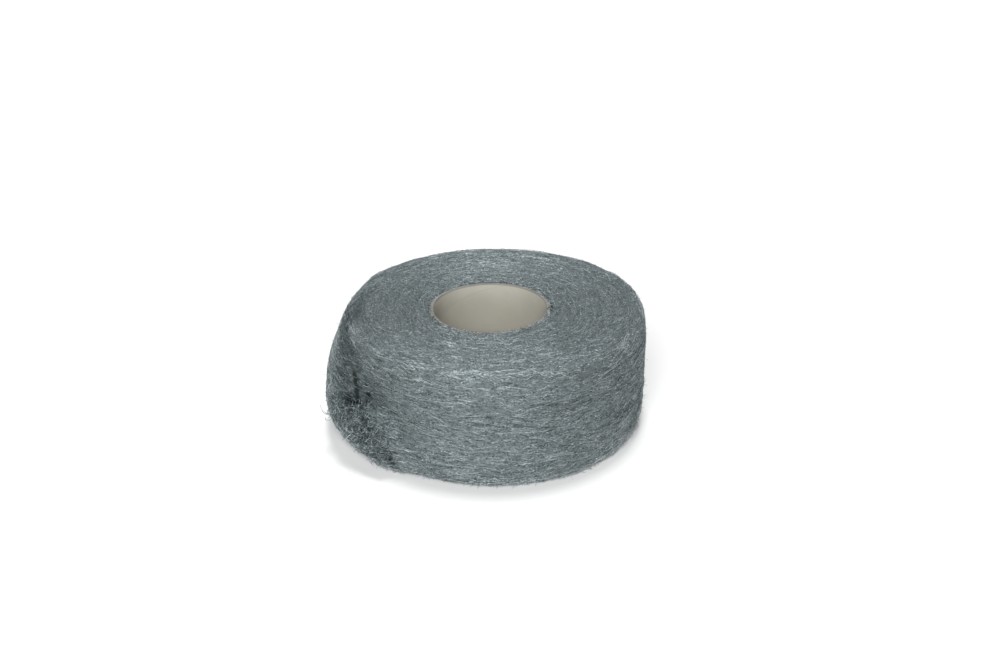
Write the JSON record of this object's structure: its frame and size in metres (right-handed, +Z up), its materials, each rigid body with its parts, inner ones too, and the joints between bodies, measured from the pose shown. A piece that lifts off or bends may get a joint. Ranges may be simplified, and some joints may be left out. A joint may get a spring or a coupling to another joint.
{
  "type": "steel wool roll",
  "caption": "Wide ribbon of matted steel wool wound on a cardboard core, standing on end with its torn outer end loose, for scouring, polishing and stopping gaps.",
  "frame": {"origin": "on the floor, under the middle of the roll's outline, loose end included", "axes": "+Z up along the core, -Y towards the viewer of the picture, with the loose end at -X"},
  "size_m": [0.2544, 0.2388, 0.0996],
  "materials": {
    "steel_wool": "matted fine steel fibres, satin, streaked along the winding",
    "cardboard": "plain grey-brown spiral-wound paper tube"
  },
  "bodies": {
    "root": {"wool_roll": "steel_wool", "core_tube": "cardboard"}
  },
  "joints": []
}
